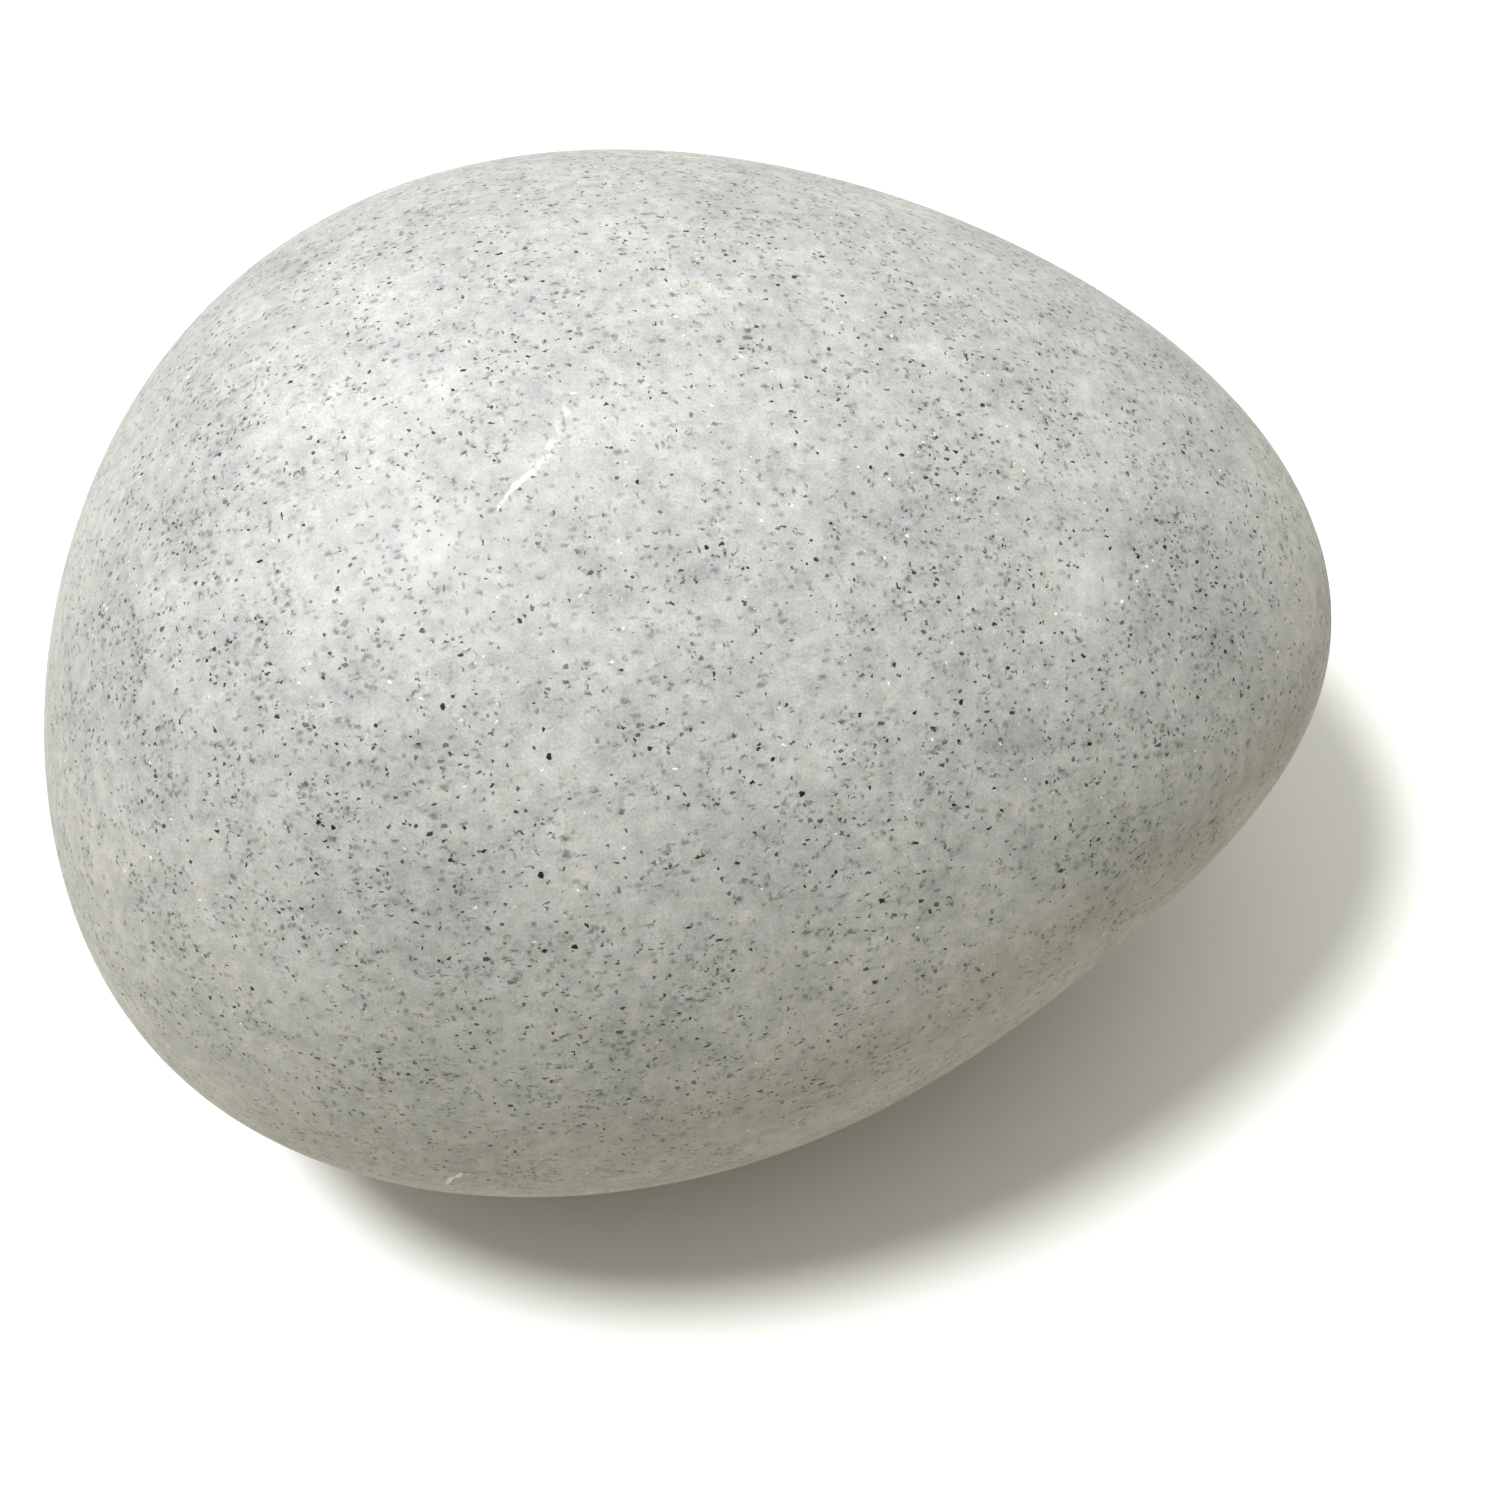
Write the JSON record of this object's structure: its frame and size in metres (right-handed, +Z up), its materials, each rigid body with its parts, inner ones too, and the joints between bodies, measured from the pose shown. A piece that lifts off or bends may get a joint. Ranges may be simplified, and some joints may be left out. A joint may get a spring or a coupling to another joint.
{
  "type": "river pebble",
  "caption": "Smooth, egg-shaped river pebble of pale grey stone with dark flecks, lying on a small worn flat as a loose natural or decorative stone.",
  "frame": {"origin": "on the surface that the stone rests on, under the middle of its length and width", "axes": "+Z up, +X along the stone's length towards its small end, +Y to the far side in the reference view"},
  "size_m": [0.0992, 0.0822, 0.0733],
  "materials": {
    "stone": "satin"
  },
  "bodies": {
    "root": {"pebble": "stone"}
  },
  "joints": []
}
